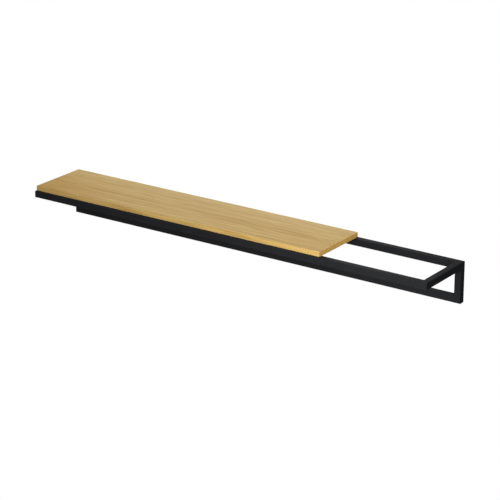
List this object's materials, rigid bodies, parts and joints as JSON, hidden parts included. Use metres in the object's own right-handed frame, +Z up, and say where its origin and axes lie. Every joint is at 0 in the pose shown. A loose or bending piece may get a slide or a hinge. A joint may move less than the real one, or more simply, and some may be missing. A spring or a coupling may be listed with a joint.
{
  "type": "bicycle wall rack",
  "caption": "Wall rack of welded black square tube with an oak shelf board over most of its length and an open bay at the right end that a bicycle hangs in.",
  "frame": {"origin": "on the wall plane, at the middle of the rear top rail's back face", "axes": "+X along the rack towards the open bay, +Y into the wall, +Z up"},
  "size_m": [1.65, 0.253, 0.1643],
  "materials": {
    "black_powder_coat": "fine matt powder coat",
    "oak": "matt lacquered oak with its grain along the board",
    "zinc_plate": "bright zinc plate"
  },
  "bodies": {
    "root": {"rear_top_rail": "black_powder_coat", "rear_bottom_rail": "black_powder_coat", "left_post": "black_powder_coat", "right_post": "black_powder_coat", "front_rail": "black_powder_coat", "left_side_rail": "black_powder_coat", "right_side_rail": "black_powder_coat", "shelf_board": "oak", "board_screw_front_1": "zinc_plate", "board_screw_front_2": "zinc_plate", "board_screw_front_3": "zinc_plate", "board_screw_front_4": "zinc_plate", "board_screw_rear_1": "zinc_plate", "board_screw_rear_2": "zinc_plate", "board_screw_rear_3": "zinc_plate", "board_screw_rear_4": "zinc_plate"}
  },
  "joints": []
}
